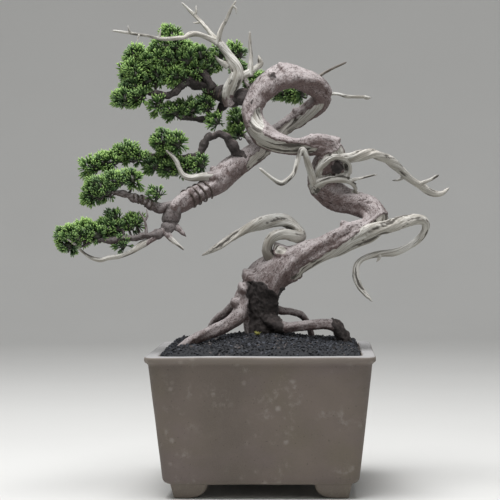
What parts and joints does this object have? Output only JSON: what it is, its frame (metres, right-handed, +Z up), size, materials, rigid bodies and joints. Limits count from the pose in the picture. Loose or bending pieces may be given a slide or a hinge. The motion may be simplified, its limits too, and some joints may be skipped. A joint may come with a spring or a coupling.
{
  "type": "bonsai tree in a pot",
  "caption": "Old juniper bonsai with a looping trunk, bleached deadwood and pads of green foliage, growing in black grit in a square unglazed stoneware pot on bracket feet.",
  "frame": {"origin": "middle of the square pot, on the surface its four feet stand on", "axes": "+Z up; +X to the right of someone facing the front of the tree; the front of the tree and a side of the pot face -Y"},
  "size_m": [0.4452, 0.2524, 0.5567],
  "materials": {
    "stoneware": "matte",
    "grit": "matte",
    "soil": "matte",
    "gravel": "matte",
    "bark": "matte",
    "deadwood": "matte",
    "foliage": "matte",
    "training_wire": "satin",
    "wire": "satin",
    "screen": "matte"
  },
  "bodies": {
    "root": {"branch_back": "bark", "branch_back_low": "bark", "branch_back_top": "bark", "branch_crown": "bark", "branch_crown_top": "bark", "branch_crown_under": "bark", "branch_left": "bark", "branch_low_left": "bark", "branch_low_tip": "bark", "branch_middle": "bark", "drainage_layer": "gravel", "drainage_screen_left": "screen", "drainage_screen_right": "screen", "foliage_back_inner": "foliage", "foliage_back_low": "foliage", "foliage_back_right": "foliage", "foliage_back_top": "foliage", "foliage_crown_centre": "foliage", "foliage_crown_knob": "foliage", "foliage_crown_left": "foliage", "foliage_crown_low_left": "foliage", "foliage_crown_right": "foliage", "foliage_crown_under": "foliage", "foliage_left_lower": "foliage", "foliage_left_upper": "foliage", "foliage_low_inner": "foliage", "foliage_low_middle": "foliage", "foliage_low_tip": "foliage", "foliage_middle_top": "foliage", "foliage_middle_under": "foliage", "jin_arch_right": "deadwood", "jin_arch_upper": "deadwood", "jin_centre": "deadwood", "jin_crown": "deadwood", "jin_crown_left": "deadwood", "jin_crown_middle": "deadwood", "jin_crown_right": "deadwood", "jin_crown_side": "deadwood", "jin_crown_spike": "deadwood", "jin_left": "deadwood", "jin_low_left": "deadwood", "jin_low_right": "deadwood", "jin_right": "deadwood", "jin_right_fork": "deadwood", "jin_under": "deadwood", "pot": "stoneware", "potting_soil": "soil", "root_back_left": "bark", "root_back_right": "bark", "root_front_left": "bark", "root_right": "bark", "screen_clip_left": "wire", "screen_clip_right": "wire", "tie_down_wire_back": "wire", "tie_down_wire_front": "wire", "top_dressing": "grit", "training_wire_crown": "training_wire", "training_wire_left": "training_wire", "training_wire_low": "training_wire", "trunk": "bark"}
  },
  "joints": []
}
